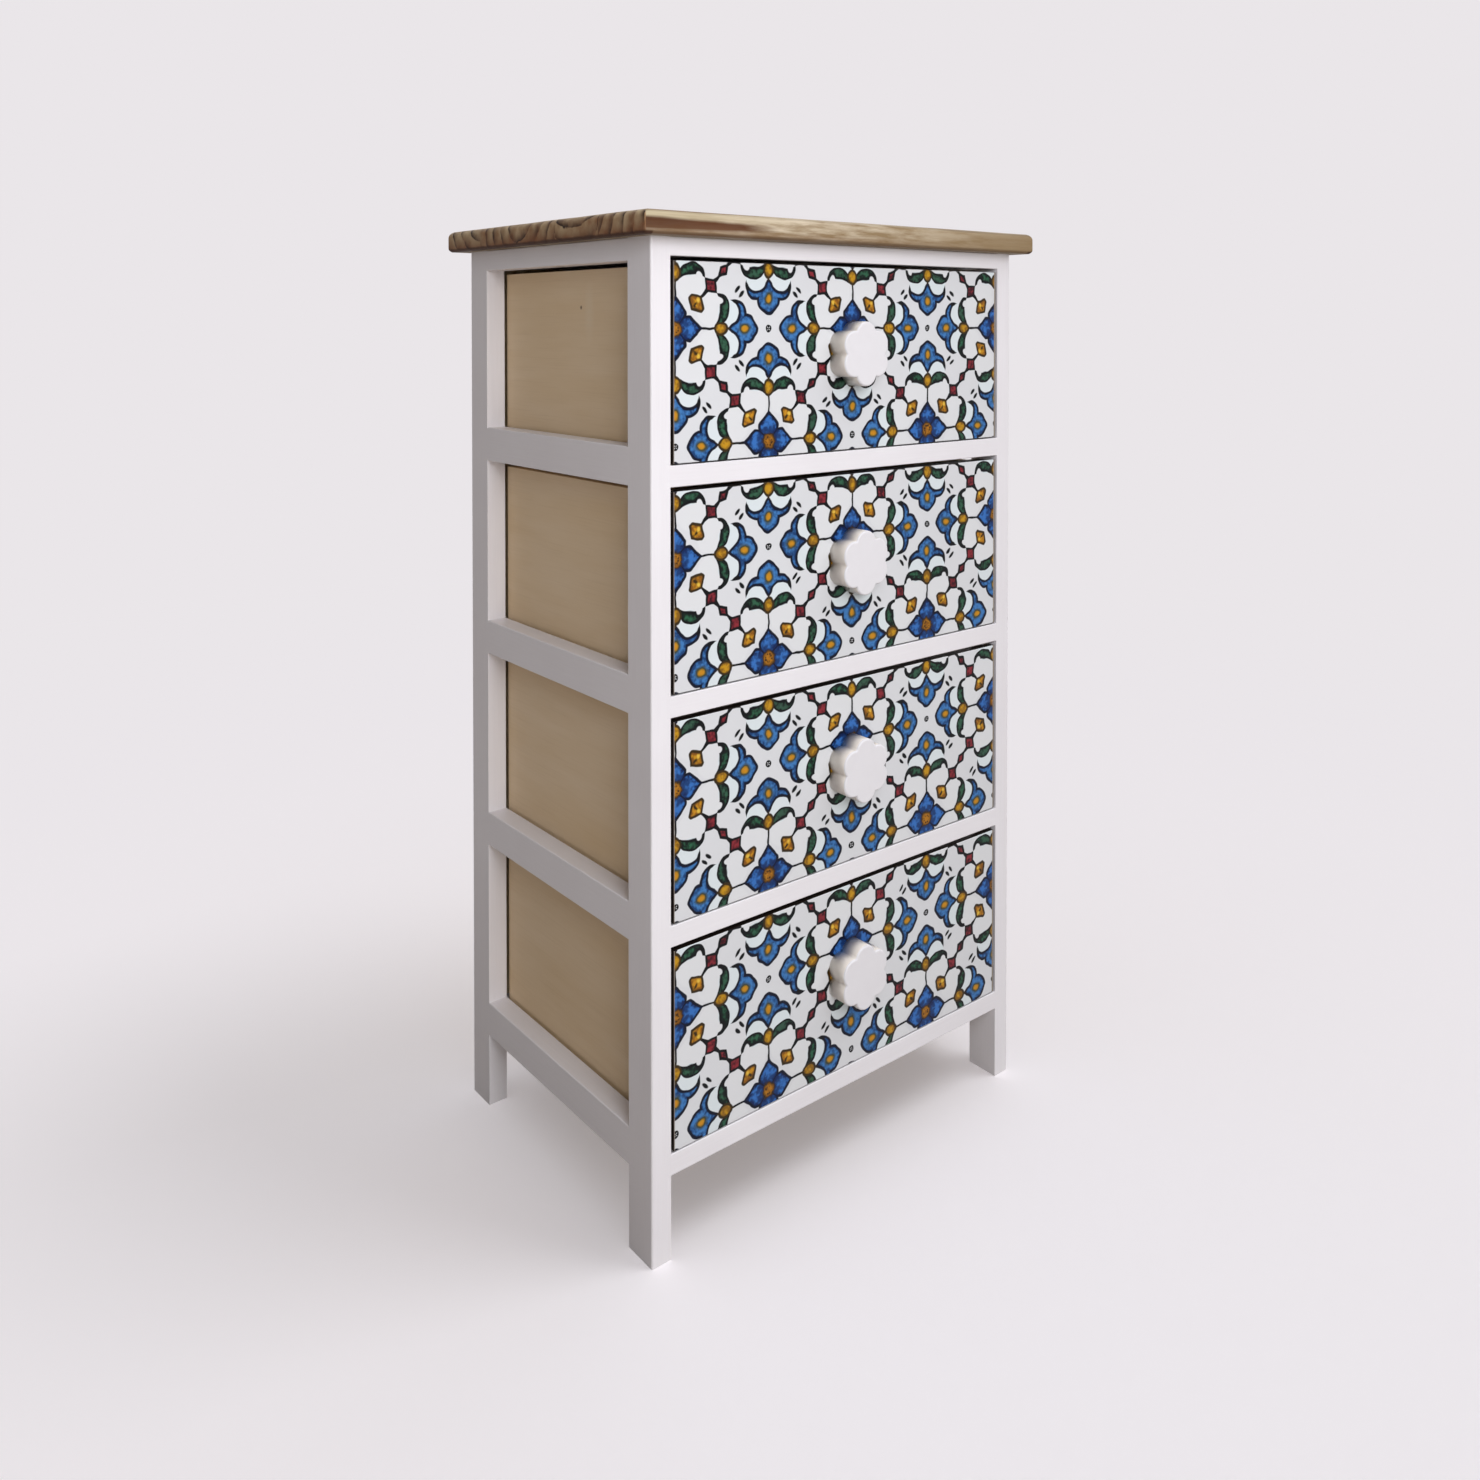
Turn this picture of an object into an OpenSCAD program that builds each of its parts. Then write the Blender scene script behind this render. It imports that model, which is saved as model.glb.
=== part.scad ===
// Tall narrow chest with four inset drawers, side frames left open and a solid wood top.
// Origin: on the floor, under the middle of the whole piece. Front is towards -Y.

/* [Frame] */
// Width across the posts
frame_w = 372; // [320:1:440]
// Depth across the posts
frame_d = 262; // [230:1:320]
// Width of a post, seen from the front
post_w = 16; // [15:0.5:24]
// Depth of a post, seen from the side
post_d = 28; // [25:0.5:40]
// Clear height under the bottom rails
foot_h = 58; // [20:1:120]
// Rounding of a post's outer corner
post_edge_r = 1.5; // [0.5:0.25:3]

/* [Rails] */
// Height of the front and back rails
rail_h = 15; // [14:0.5:24]
// Height of the top front and back rails
top_rail_h = 13; // [12:0.5:24]
// Height of the side rails
side_rail_h = 27; // [24:0.5:40]
// Height of the top side rails
side_top_rail_h = 16; // [12:0.5:24]
// Rounding of a rail's outer edges
rail_edge_r = 0.8; // [0.4:0.2:2]
// Clear height of each drawer's opening
opening_h = 143; // [120:1:180]

/* [Top board] */
// Thickness of the board
top_t = 17; // [15:0.5:30]
// Overhang at each side
top_over_side = 14; // [0:1:30]
// Overhang at the front
top_over_front = 14; // [0:1:30]
// Overhang at the back
top_over_back = 14; // [0:1:30]
// Rounding of the upper edges
top_edge_r = 5; // [2:0.5:6]
// Rounding of the lower edges
top_under_r = 3; // [1:0.5:5]

/* [Back panel] */
// Thickness of the panel
panel_t = 3; // [2:0.5:5]
// Width of the rebate in each back post
rebate_w = 6; // [4:0.5:7]
// Gap between the panel's edge and the rebate
panel_gap = 0.5; // [0.2:0.1:1.5]

/* [Runners] */
// Width of a runner under a drawer's side
runner_w = 12; // [12:0.5:20]
// Distance of a runner's screws from its ends
runner_screw_in = 34; // [25:1:60]

/* [Drawer front] */
// Thickness of the front
front_t = 12; // [10:0.5:18]
// Gap at each end of the front
front_end_gap = 2; // [1:0.25:3]
// Gap above the front
front_top_gap = 3; // [1:0.25:4]
// Gap under the front
front_under_gap = 1; // [0.5:0.25:2]
// Thickness of the lip that covers the sides' ends
front_lip_t = 6; // [4:0.5:7]

/* [Drawer box] */
// Thickness of the sides
side_t = 8; // [7:0.5:12]
// Thickness of the back
back_t = 8; // [6:0.5:12]
// Thickness of the bottom
bottom_t = 3; // [2:0.5:6]
// Gap between a side and the posts
side_gap = 2.25; // [2:0.25:4]
// Gap above the sides
box_top_gap = 6; // [4:0.5:20]
// Running gap between the sides and the runners
slide_gap = 0.3; // [0.2:0.1:0.8]
// Gap between the closed drawer and the back rail that stops it
stop_gap = 0.5; // [0.3:0.1:2]
// Height of the bottom above the sides' lower edges
bottom_up = 6; // [4:0.5:12]
// Depth of the grooves for the bottom
groove_d = 4; // [2:0.5:5]
// Depth of the grooves for the back
housing_d = 3; // [2:0.5:4]
// Distance of the back from the sides' rear ends
back_in = 8; // [5:0.5:20]

/* [Knob] */
// Width across opposite petals
knob_w = 49; // [36:1:56]
// Depth of the knob
knob_h = 17; // [15:0.5:25]
// Width of one petal
petal_w = 21; // [17:0.2:23]
// Height of the knob above the middle of the front
knob_up = 3.5; // [0:0.5:12]
// Rounding of the front edge
knob_edge_r = 2.5; // [1:0.25:4]

/* [Fasteners] */
// Diameter of the frame's dowels
dowel_w = 6; // [5:0.5:7]
// Depth of a dowel's hole in a post
dowel_in_post = 10; // [8:0.5:12]
// Depth of a dowel's hole in a rail
dowel_in_rail = 14; // [10:0.5:20]
// Distance of the front and back rails' dowels from the frame's face
dowel_from_face = 9; // [8:0.5:10]
// Distance between the two dowels in a side rail's end
dowel_spacing = 12; // [10:0.5:15]
// Diameter of the wood screws
screw_w = 4; // [3:0.5:5]
// Diameter of the wood screws' heads
screw_head_w = 7.5; // [7:0.5:10]
// Length of the runner screws
runner_screw_l = 21; // [18:0.5:24]
// Length of the screws that hold the top board
top_screw_l = 25; // [22:0.5:28]
// Distance of the top board's screws from the middle of the front and back rails
top_screw_off = 110; // [60:5:130]
// Length of the knob screws under the head
knob_screw_l = 24; // [22:0.5:27]
// Diameter of a panel nail
nail_w = 1.4; // [1:0.1:2]
// Length of a panel nail under the head
nail_l = 14; // [10:0.5:18]
// Distance between the nails along a back rail
nail_spacing = 120; // [60:5:140]

/* [Fits] */
// Gap round glued joints, dowels, screws and nails
fit_gap = 0.1; // [0.05:0.05:0.2]

/* [Hidden] */
$fn = 48;
drawer_n = 4;
petal_n = 6;
nail_head_w = 3.2;
nail_head_h = 0.6;
knob_head_w = 8;
knob_head_h = 2.4;
slot_w = 1;
slot_d = 1;
dowel_end_gap = 0.5;

pitch = rail_h + opening_h;
frame_h = foot_h + drawer_n * pitch + top_rail_h;
front_reach = max(knob_h, top_over_front);
total_d = front_reach + frame_d + top_over_back;
y_front = front_reach - total_d / 2;
y_back = y_front + frame_d;
x_out = frame_w / 2;
x_in = x_out - post_w;
side_l = frame_d - 2 * post_d;
dowel_l = dowel_in_post + dowel_in_rail - 2 * dowel_end_gap;

box_x = x_in - side_gap;
box_in_x = box_x - side_t;
box_top = opening_h - box_top_gap;
box_front = y_front + front_lip_t;
box_back = y_back - post_d - stop_gap;
bottom_z = slide_gap + bottom_up;
back_y = box_back - back_in - back_t;
front_x = x_in - front_end_gap;
front_top = opening_h - front_top_gap;
knob_z = (front_under_gap + front_top) / 2 + knob_up;
petal_at = (knob_w - petal_w) / 2;

rail_names = ["top_rail", "rail_1", "rail_2", "rail_3", "bottom_rail"];
rail_n = len(rail_names);
drawer_parts = ["front", "left_side", "right_side", "back", "bottom", "knob", "knob_screw"];

white = "#e9e6e8";
raw_wood = "#b79f7a";
burnt_wood = "#8d7a5e";
dowel_wood = "#cfae7c";
steel = "#a9acae";

// Top of the rail under drawer n, with drawer 1 at the top
function floor_z(n) = foot_h + rail_h + (drawer_n - n) * pitch;

// Rail i, from 0 at the top: its lower edge, and its height at the front and at the side
function rail_z(i) = i == 0 ? frame_h - top_rail_h : floor_z(i) - rail_h;
function rail_height(i) = i == 0 ? top_rail_h : rail_h;
function side_z(i) = i == 0 ? frame_h - side_top_rail_h : rail_z(i);
function side_height(i) = i == 0 ? side_top_rail_h : side_rail_h;
function side_dowels(i) = i == 0 ? [0] : [-dowel_spacing / 2, dowel_spacing / 2];

// Where the fasteners stand
rail_dowel_z = [for (i = [0 : rail_n - 1]) rail_z(i) + rail_height(i) / 2];
side_dowel_z = [for (i = [0 : rail_n - 1]) for (s = side_dowels(i)) side_z(i) + side_height(i) / 2 + s];
runner_screw_y = [y_front + post_d + runner_screw_in, y_back - post_d - runner_screw_in];
rail_nail_x = [-nail_spacing, 0, nail_spacing];
post_nail_z = [for (n = [1 : drawer_n]) floor_z(n) + opening_h / 2];
nail_post_x = x_in + rebate_w / 2;
side_dowel_x = x_out - post_w / 2;
back_dowel_y = y_back - dowel_from_face;
front_dowel_y = y_front + dowel_from_face;

module both_sides() {
    children();
    mirror([1, 0, 0]) children();
}

// A round hole or peg from a point along +X, +Y or +Z
module along_x(r, l) { rotate([0, 90, 0]) cylinder(r = r, h = l); }
module along_y(r, l) { rotate([-90, 0, 0]) cylinder(r = r, h = l); }

// A square with rounded corners at its lower left and, if asked, its upper left
module rounded_left(w, h, r, upper = true) {
    translate([r, 0]) square([w - r, h]);
    translate([0, r]) square([w, h - (upper ? 2 : 1) * r]);
    translate([r, r]) circle(r);
    if (upper) translate([r, h - r]) circle(r);
}

// Cross-section of the top board, w wide, from its lower left
module board_section(w) {
    translate([top_edge_r, 0]) square([w - 2 * top_edge_r, top_t]);
    translate([0, top_under_r]) square([w, top_t - top_under_r - top_edge_r]);
    for (x = [top_edge_r, w - top_edge_r]) translate([x, top_t - top_edge_r]) circle(top_edge_r);
    for (x = [top_under_r, w - top_under_r]) translate([x, top_under_r]) circle(top_under_r);
    translate([top_under_r, 0]) square([w - 2 * top_under_r, top_under_r]);
}

// Countersunk wood screw, head at the origin, pointing along +Z
module wood_screw(l) {
    head_h = (screw_head_w - screw_w) / 2;
    difference() {
        union() {
            cylinder(d1 = screw_head_w, d2 = screw_w, h = head_h);
            cylinder(d = screw_w, h = l);
        }
        translate([-screw_head_w / 2, -slot_w / 2, 0]) cube([screw_head_w, slot_w, slot_d]);
    }
}

// The hole that such a screw sits in
module screw_hole(l) {
    cylinder(d1 = screw_head_w + 2 * fit_gap, d2 = screw_w + 2 * fit_gap, h = (screw_head_w - screw_w) / 2);
    cylinder(d = screw_w + 2 * fit_gap, h = l + fit_gap);
}

module at_runner_screws() {
    for (n = [1 : drawer_n]) for (y = runner_screw_y)
        translate([-x_in + runner_w, y, floor_z(n) - rail_h / 2]) rotate([0, -90, 0]) children();
}

module at_top_screws() {
    for (x = [-top_screw_off, top_screw_off]) for (y = [front_dowel_y, back_dowel_y])
        translate([x, y, frame_h - top_rail_h]) children();
    for (x = [-side_dowel_x, side_dowel_x])
        translate([x, (y_front + y_back) / 2, frame_h - side_top_rail_h]) children();
}

// Shank of every panel nail, thicker and deeper by grow
module nail_shanks(grow) {
    r = nail_w / 2 + grow;
    for (z = rail_dowel_z) for (x = rail_nail_x)
        translate([x, y_back - nail_l - grow, z]) along_y(r, nail_l + grow);
    for (z = post_nail_z) for (x = [-nail_post_x, nail_post_x])
        translate([x, y_back - nail_l - grow, z]) along_y(r, nail_l + grow);
}

module top_board() {
    board_w = frame_w + 2 * top_over_side;
    board_d = top_over_front + frame_d + top_over_back;
    color(burnt_wood) difference() {
        translate([-board_w / 2, y_front - top_over_front, frame_h]) intersection() {
            translate([0, board_d, 0]) rotate([90, 0, 0]) linear_extrude(board_d) board_section(board_w);
            rotate([90, 0, 90]) linear_extrude(board_w) board_section(board_d);
        }
        at_top_screws() screw_hole(top_screw_l);
    }
}

// Left post at the front. The back one is its mirror, with a rebate for the panel.
module post(at_back) {
    color(white) translate([-x_out, 0, 0]) difference() {
        linear_extrude(frame_h) rounded_left(post_w, post_d, post_edge_r, false);
        for (z = rail_dowel_z) translate([post_w - dowel_in_post, dowel_from_face, z])
            along_x(dowel_w / 2 + fit_gap, dowel_in_post);
        for (z = side_dowel_z) translate([post_w / 2, post_d - dowel_in_post, z])
            along_y(dowel_w / 2 + fit_gap, dowel_in_post);
        if (at_back) translate([post_w - rebate_w, 0, foot_h]) cube([rebate_w, panel_t, frame_h - foot_h]);
    }
}

module front_left_post() { translate([0, y_front, 0]) post(false); }
module back_left_post() {
    difference() {
        translate([0, y_back, 0]) mirror([0, 1, 0]) post(true);
        nail_shanks(fit_gap);
    }
}

// Rail from post to post, with its outer face at y = 0 and depth d
module cross_rail(i, d) {
    color(white) difference() {
        translate([-x_in, 0, rail_z(i)]) rotate([90, 0, 90])
            linear_extrude(2 * x_in) rounded_left(d, rail_height(i), rail_edge_r);
        both_sides() translate([-x_in, 0, 0]) children();
    }
}

module front_rail(i) {
    difference() {
        translate([0, y_front, 0]) cross_rail(i, post_d)
            translate([0, dowel_from_face, rail_dowel_z[i]]) along_x(dowel_w / 2 + fit_gap, dowel_in_rail);
        at_top_screws() screw_hole(top_screw_l);
    }
}

module back_rail(i) {
    d = post_d - panel_t;
    difference() {
        translate([0, y_back - panel_t, 0]) mirror([0, 1, 0]) cross_rail(i, d)
            translate([0, dowel_from_face - panel_t, rail_dowel_z[i]])
                along_x(dowel_w / 2 + fit_gap, dowel_in_rail);
        at_top_screws() screw_hole(top_screw_l);
        nail_shanks(fit_gap);
    }
}

module left_rail(i) {
    color(white) difference() {
        translate([-x_out, y_back - post_d, side_z(i)]) rotate([90, 0, 0])
            linear_extrude(side_l) rounded_left(post_w, side_height(i), rail_edge_r);
        for (s = side_dowels(i)) translate([-side_dowel_x, 0, side_z(i) + side_height(i) / 2 + s]) {
            translate([0, y_front + post_d, 0]) along_y(dowel_w / 2 + fit_gap, dowel_in_rail);
            translate([0, y_back - post_d - dowel_in_rail, 0]) along_y(dowel_w / 2 + fit_gap, dowel_in_rail);
        }
        at_runner_screws() screw_hole(runner_screw_l);
        at_top_screws() screw_hole(top_screw_l);
    }
}

module back_panel() {
    w = 2 * (x_in + rebate_w - panel_gap);
    color(raw_wood) difference() {
        translate([-w / 2, y_back - panel_t, foot_h]) cube([w, panel_t, frame_h - foot_h]);
        nail_shanks(fit_gap);
    }
}

module left_runners() {
    color(raw_wood) difference() {
        for (n = [1 : drawer_n]) translate([-x_in, y_front + post_d, floor_z(n) - rail_h])
            cube([runner_w, side_l, rail_h]);
        at_runner_screws() screw_hole(runner_screw_l);
    }
}

module frame_dowels() {
    color(dowel_wood) both_sides() {
        for (z = rail_dowel_z) for (y = [front_dowel_y, back_dowel_y])
            translate([-x_in - dowel_in_post + dowel_end_gap, y, z]) along_x(dowel_w / 2, dowel_l);
        for (z = side_dowel_z) {
            translate([-side_dowel_x, y_front + post_d - dowel_in_post + dowel_end_gap, z])
                along_y(dowel_w / 2, dowel_l);
            translate([-side_dowel_x, y_back - post_d - dowel_in_rail + dowel_end_gap, z])
                along_y(dowel_w / 2, dowel_l);
        }
    }
}

module runner_screws() { color(steel) both_sides() at_runner_screws() wood_screw(runner_screw_l); }
module top_screws() { color(steel) at_top_screws() wood_screw(top_screw_l); }

module panel_nails() {
    color(steel) {
        nail_shanks(0);
        for (z = rail_dowel_z) for (x = rail_nail_x) translate([x, y_back, z])
            along_y(nail_head_w / 2, nail_head_h);
        for (z = post_nail_z) for (x = [-nail_post_x, nail_post_x]) translate([x, y_back, z])
            along_y(nail_head_w / 2, nail_head_h);
    }
}

module drawer_front(n) {
    color(white) translate([0, 0, floor_z(n)]) difference() {
        translate([-front_x, y_front, front_under_gap]) cube([2 * front_x, front_t, front_top - front_under_gap]);
        both_sides() translate([-front_x, box_front, front_under_gap])
            cube([front_x - box_in_x + fit_gap, front_t - front_lip_t, front_top - front_under_gap]);
        translate([-front_x, y_front + front_t - groove_d, bottom_z])
            cube([2 * front_x, groove_d, bottom_t + fit_gap]);
        translate([0, y_front, knob_z]) along_y(screw_w / 2 + fit_gap, front_t);
    }
}

module drawer_left_side(n) {
    color(raw_wood) translate([0, 0, floor_z(n)]) difference() {
        translate([-box_x, box_front, slide_gap]) cube([side_t, box_back - box_front, box_top - slide_gap]);
        translate([-box_in_x - groove_d, box_front, bottom_z])
            cube([groove_d, box_back - box_front, bottom_t + fit_gap]);
        translate([-box_in_x - housing_d, back_y - fit_gap, bottom_z + bottom_t])
            cube([housing_d, back_t + 2 * fit_gap, box_top - bottom_z - bottom_t]);
    }
}

module drawer_back(n) {
    x = box_in_x + housing_d - fit_gap;
    color(raw_wood) translate([-x, back_y, floor_z(n) + bottom_z + bottom_t])
        cube([2 * x, back_t, box_top - bottom_z - bottom_t]);
}

module drawer_bottom(n) {
    x = box_in_x + groove_d - fit_gap;
    y = y_front + front_t - groove_d + fit_gap;
    color(raw_wood) translate([-x, y, floor_z(n) + bottom_z]) cube([2 * x, box_back - y, bottom_t]);
}

// One petal of the knob, standing on its back, with its front edge rounded
module petal() {
    r = petal_w / 2;
    rotate_extrude() {
        square([r - knob_edge_r, knob_h]);
        square([r, knob_h - knob_edge_r]);
        translate([r - knob_edge_r, knob_h - knob_edge_r]) intersection() {
            circle(knob_edge_r);
            square(knob_edge_r);
        }
    }
}

module at_petals() {
    for (k = [1 : petal_n]) rotate([0, 0, (k - 0.5) * 360 / petal_n]) translate([petal_at, 0, 0]) children();
}

module drawer_knob(n) {
    color(white) translate([0, y_front, floor_z(n) + knob_z]) difference() {
        rotate([90, 0, 0]) {
            cylinder(r = petal_at - knob_edge_r, h = knob_h);
            linear_extrude(knob_h - knob_edge_r) {
                circle(petal_at);
                at_petals() circle(d = petal_w);
            }
            at_petals() petal();
        }
        translate([0, front_t - knob_screw_l - fit_gap, 0])
            along_y(screw_w / 2 + fit_gap, knob_screw_l + fit_gap - front_t);
    }
}

module drawer_knob_screw(n) {
    color(steel) translate([0, y_front + front_t, floor_z(n) + knob_z]) difference() {
        union() {
            along_y(knob_head_w / 2, knob_head_h);
            translate([0, -knob_screw_l, 0]) along_y(screw_w / 2, knob_screw_l);
        }
        translate([-knob_head_w / 2, knob_head_h - slot_d, -slot_w / 2]) cube([knob_head_w, slot_d, slot_w]);
    }
}

module right_of() { mirror([1, 0, 0]) children(); }

top_board();
front_left_post();
right_of() front_left_post();  // front_right_post
back_left_post();
right_of() back_left_post();  // back_right_post
for (i = [0 : rail_n - 1]) {
    left_rail(i);
    right_of() left_rail(i);
    front_rail(i);
    back_rail(i);
}
back_panel();
left_runners();
right_of() left_runners();  // right_runners
frame_dowels();
runner_screws();
top_screws();
panel_nails();
for (n = [1 : drawer_n]) {
    drawer_front(n);
    drawer_left_side(n);
    right_of() drawer_left_side(n);
    drawer_back(n);
    drawer_bottom(n);
    drawer_knob(n);
    drawer_knob_screw(n);
}
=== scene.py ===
import math
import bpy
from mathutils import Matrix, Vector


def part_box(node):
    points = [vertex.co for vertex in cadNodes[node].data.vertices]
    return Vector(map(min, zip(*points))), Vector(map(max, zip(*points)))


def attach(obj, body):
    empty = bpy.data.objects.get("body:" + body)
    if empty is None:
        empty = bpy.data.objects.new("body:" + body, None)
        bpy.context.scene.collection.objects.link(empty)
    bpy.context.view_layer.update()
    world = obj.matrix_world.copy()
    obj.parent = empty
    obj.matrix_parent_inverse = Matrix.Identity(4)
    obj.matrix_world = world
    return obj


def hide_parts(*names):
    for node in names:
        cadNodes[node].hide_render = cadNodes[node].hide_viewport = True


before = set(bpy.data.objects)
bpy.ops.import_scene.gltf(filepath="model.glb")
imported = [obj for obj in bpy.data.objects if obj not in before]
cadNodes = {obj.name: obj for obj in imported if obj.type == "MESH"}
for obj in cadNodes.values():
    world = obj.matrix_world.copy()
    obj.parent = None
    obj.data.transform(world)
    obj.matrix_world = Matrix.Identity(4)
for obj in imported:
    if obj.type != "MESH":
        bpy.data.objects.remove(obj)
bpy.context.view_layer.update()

from fnmatch import fnmatch

import bmesh
import bpy
from mathutils import Matrix, Vector, noise

mm = 0.001
toMm = 1000.0
drawerNumbers = (1, 2, 3, 4)
scene = bpy.context.scene


# ways of working that every finish and piece shares

def hexToLinear(code):
    channels = [int(code[k:k + 2], 16) / 255 for k in (1, 3, 5)]
    return tuple(c / 12.92 if c <= 0.04045 else ((c + 0.055) / 1.055) ** 2.4 for c in channels) + (1.0,)


def addNode(tree, kind, inputs=(), out=0, **settings):
    # an input is a value, a colour's hex code or what another node gives
    made = tree.nodes.new(kind)
    for name, value in settings.items():
        setattr(made, name, value)
    for key, value in inputs.items() if isinstance(inputs, dict) else enumerate(inputs):
        value = value.socket if isinstance(value, Amount) else value
        if isinstance(value, bpy.types.NodeSocket):
            tree.links.new(value, made.inputs[key])
        elif isinstance(value, str):
            made.inputs[key].default_value = hexToLinear(value)
        else:
            made.inputs[key].default_value = value
    return made.outputs[out] if made.outputs else None


class Amount:  # a number that varies over a surface, for plain arithmetic with Math nodes
    def __init__(self, tree, socket):
        self.tree, self.socket = tree, socket

    def math(self, operation, *others, clamp=False):
        return Amount(self.tree, addNode(self.tree, "ShaderNodeMath", (self, *others),
                                         operation=operation, use_clamp=clamp))

    def __add__(self, other):
        return self.math("ADD", other)

    def __sub__(self, other):
        return self.math("SUBTRACT", other)

    def __mul__(self, other):
        return self.math("MULTIPLY", other)

    def __neg__(self):
        return self.math("MULTIPLY", -1.0)

    def __abs__(self):
        return self.math("ABSOLUTE")

    def share(self, rise=1.0):  # kept between 0 and 1
        return self.math("MULTIPLY", rise, clamp=True)

    def contrast(self, gain, middle=0.5):  # an even noise made stronger about a middle tone
        return ((self - 0.5) * gain + middle).share()

    def above(self, level, gain=1.0):  # nothing up to a level, then more and more
        return ((self - level) * gain).math("MAXIMUM", 0.0)

    def outside(self, other):  # a distance with the other shape cut away
        return self.math("MAXIMUM", -other)

    def also(self, other):
        return self.math("MINIMUM", other)

    def within(self, other, blend=0.0):
        return self.math("SMOOTH_MAX", other, blend) if blend else self.math("MAXIMUM", other)

    def mask(self, soft):  # 1 where a distance is below zero, with a soft rim
        return self.math("MULTIPLY_ADD", -0.5 / soft, 0.5, clamp=True)


def coats(tree, colour, *layers):
    # each layer is how much it covers, from 0 to 1, and its colour, laid over what is there
    for share, over in layers:
        colour = addNode(tree, "ShaderNodeMix", {0: share, 6: colour, 7: over}, 2, data_type="RGBA")
    return colour


def grainNoise(tree, place, size, detail=3.0, stretch=(1, 1, 1), rough=0.5):
    # size is the width of a feature in metres, and stretch makes it longer along an axis
    scaled = addNode(tree, "ShaderNodeMapping", {0: place, 3: [1 / (size * s) for s in stretch]})
    return Amount(tree, addNode(tree, "ShaderNodeTexNoise",
                                {"Vector": scaled, "Scale": 1.0, "Detail": detail, "Roughness": rough}))


def longAlong(along, times):
    return [times if axis == along else 1 for axis in "xyz"]


def newFinish(name):
    material = bpy.data.materials.new(name)
    material.use_nodes = True
    tree = material.node_tree
    tree.nodes.clear()
    shader = addNode(tree, "ShaderNodeBsdfPrincipled").node
    addNode(tree, "ShaderNodeOutputMaterial", {0: shader.outputs[0]})
    place = addNode(tree, "ShaderNodeTexCoord", out="Object")
    return material, tree, shader, place


def setFinish(tree, shader, colour, roughness, height=None, depth=0.0):
    tree.links.new(colour, shader.inputs["Base Color"])
    if isinstance(roughness, Amount):
        tree.links.new(roughness.socket, shader.inputs["Roughness"])
    else:
        shader.inputs["Roughness"].default_value = roughness
    if height:
        bump = addNode(tree, "ShaderNodeBump", {"Height": height, "Distance": depth})
        tree.links.new(bump, shader.inputs["Normal"])


# camera at the photograph's place, fitted to about a hundred of its edges

photoCamera = dict(lens=30.839, sensor=36.0, shift=-0.2663, place=(-0.67204, -0.83052, 0.64370),
                   tilt=1.0, turn=38.755, near=0.01, far=60.0)


def addCamera():
    data = bpy.data.cameras.new("photoCamera")
    data.lens, data.sensor_width = photoCamera["lens"], photoCamera["sensor"]
    data.shift_y = photoCamera["shift"]
    data.clip_start, data.clip_end = photoCamera["near"], photoCamera["far"]
    camera = bpy.data.objects.new("photoCamera", data)
    scene.collection.objects.link(camera)
    camera.location = photoCamera["place"]
    camera.rotation_euler = (math.radians(90 - photoCamera["tilt"]), 0, -math.radians(photoCamera["turn"]))
    scene.camera = camera
    print("camera placed")


addCamera()


# floor, background and lights
# the chest and the floor have lamps of their own, so that either can change without the other

studio = dict(background="#eae6e9", ambient=(0.090, 0.081, 0.073), floorHalf=20.0, floorBounce="#c8beb6",
              seenFloor=1.765, shadowShare=0.68, fadeFrom=0.9, fadeTo=2.2)
suns = dict(
    overhead=dict(power=1.50, colour=(0.975, 0.985, 1.025), towards=(0.36, -0.34, 0.87), softness=66.0),
    behind=dict(power=0.55, colour=(1.0, 0.98, 0.96), towards=(0.35, 0.85, 0.45), softness=60.0),
    floorSoft=dict(power=0.951, colour=(0.982, 1.0, 1.028), towards=(0.0, 0.0, 1.0), softness=90.0),
    floorSide=dict(power=0.651, colour=(0.982, 1.0, 1.028), towards=(0.78, -0.63, 1.73), softness=26.0))
panels = dict(
    softbox=dict(power=11.3, colour=(0.975, 0.985, 1.02), place=(-0.44, -1.15, 1.00),
                 aim=(0.0, -0.12, 0.42), width=0.9, height=0.7),
    lowFill=dict(power=2.6, colour=(1.0, 0.985, 0.97), place=(-0.35, -1.20, 0.12),
                 aim=(-0.1, -0.13, 0.15), width=0.5, height=0.4))


def addRoom():
    world = bpy.data.worlds.new("paleRoom")
    scene.world = world
    world.use_nodes = True
    tree = world.node_tree
    tree.nodes.clear()
    ray = addNode(tree, "ShaderNodeLightPath").node
    seen = addNode(tree, "ShaderNodeMath", (ray.outputs["Is Camera Ray"], ray.outputs["Is Glossy Ray"]),
                   operation="MAXIMUM")
    seen = addNode(tree, "ShaderNodeMath", (seen, ray.outputs["Is Transmission Ray"]), operation="MAXIMUM")
    colour = coats(tree, studio["ambient"] + (1.0,), (seen, studio["background"]))
    background = addNode(tree, "ShaderNodeBackground", {0: colour})
    addNode(tree, "ShaderNodeOutputWorld", {0: background})
    scene.view_settings.view_transform = "Standard"


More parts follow.
